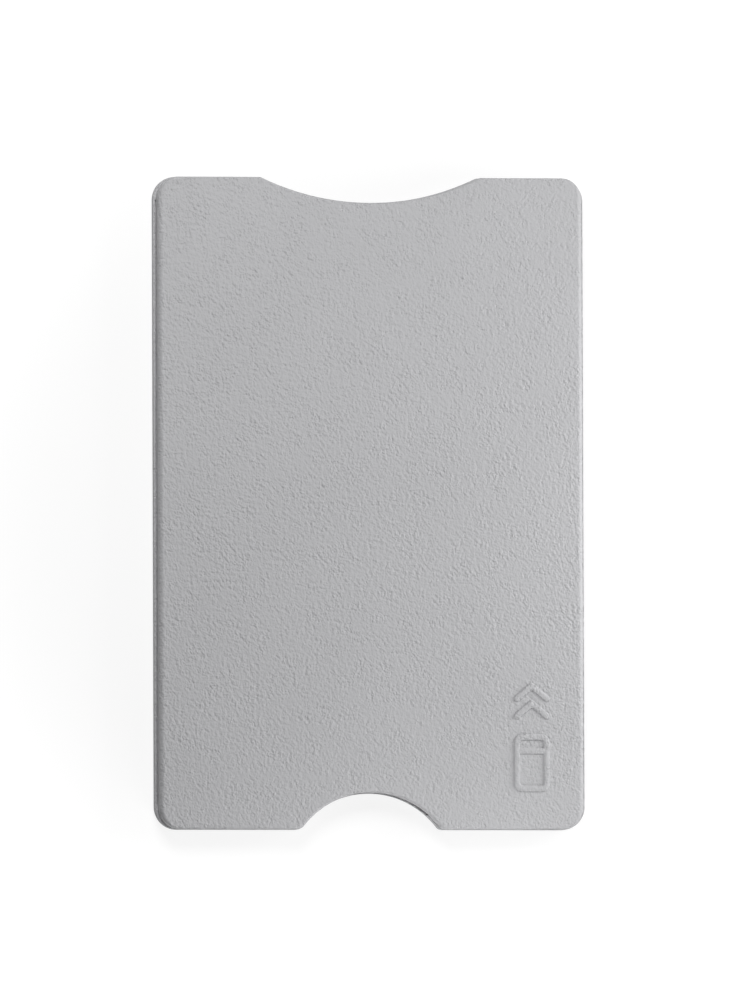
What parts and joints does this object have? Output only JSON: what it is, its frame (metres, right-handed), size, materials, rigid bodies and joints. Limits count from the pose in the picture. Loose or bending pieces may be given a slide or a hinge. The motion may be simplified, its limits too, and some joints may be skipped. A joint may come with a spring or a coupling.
{
  "type": "card case",
  "caption": "Flat rigid case for a bank card: plastic half shells lined with shielding foil, open at a mouth with a wide finger notch, with a thumb notch at the closed end.",
  "frame": {"origin": "centre of the rear face, on which the case lies", "axes": "+X across the case, to the right seen from the front; +Y along it towards the mouth where the card goes in; +Z out of the front face"},
  "size_m": [0.06, 0.09, 0.0043],
  "materials": {
    "silver_abs": "injection-moulded ABS, silver-grey, with a fine leather-like mould grain outside",
    "aluminium_foil": "rolled foil, bright",
    "adhesive_film": "double-sided acrylic adhesive film",
    "polyester_film": "thin polyester film that the card slides on"
  },
  "bodies": {
    "root": {"front_shell": "silver_abs", "rear_shell": "silver_abs", "front_shield_adhesive": "adhesive_film", "rear_shield_adhesive": "adhesive_film", "front_shield_foil": "aluminium_foil", "rear_shield_foil": "aluminium_foil", "front_wear_film": "polyester_film", "rear_wear_film": "polyester_film"}
  },
  "joints": []
}
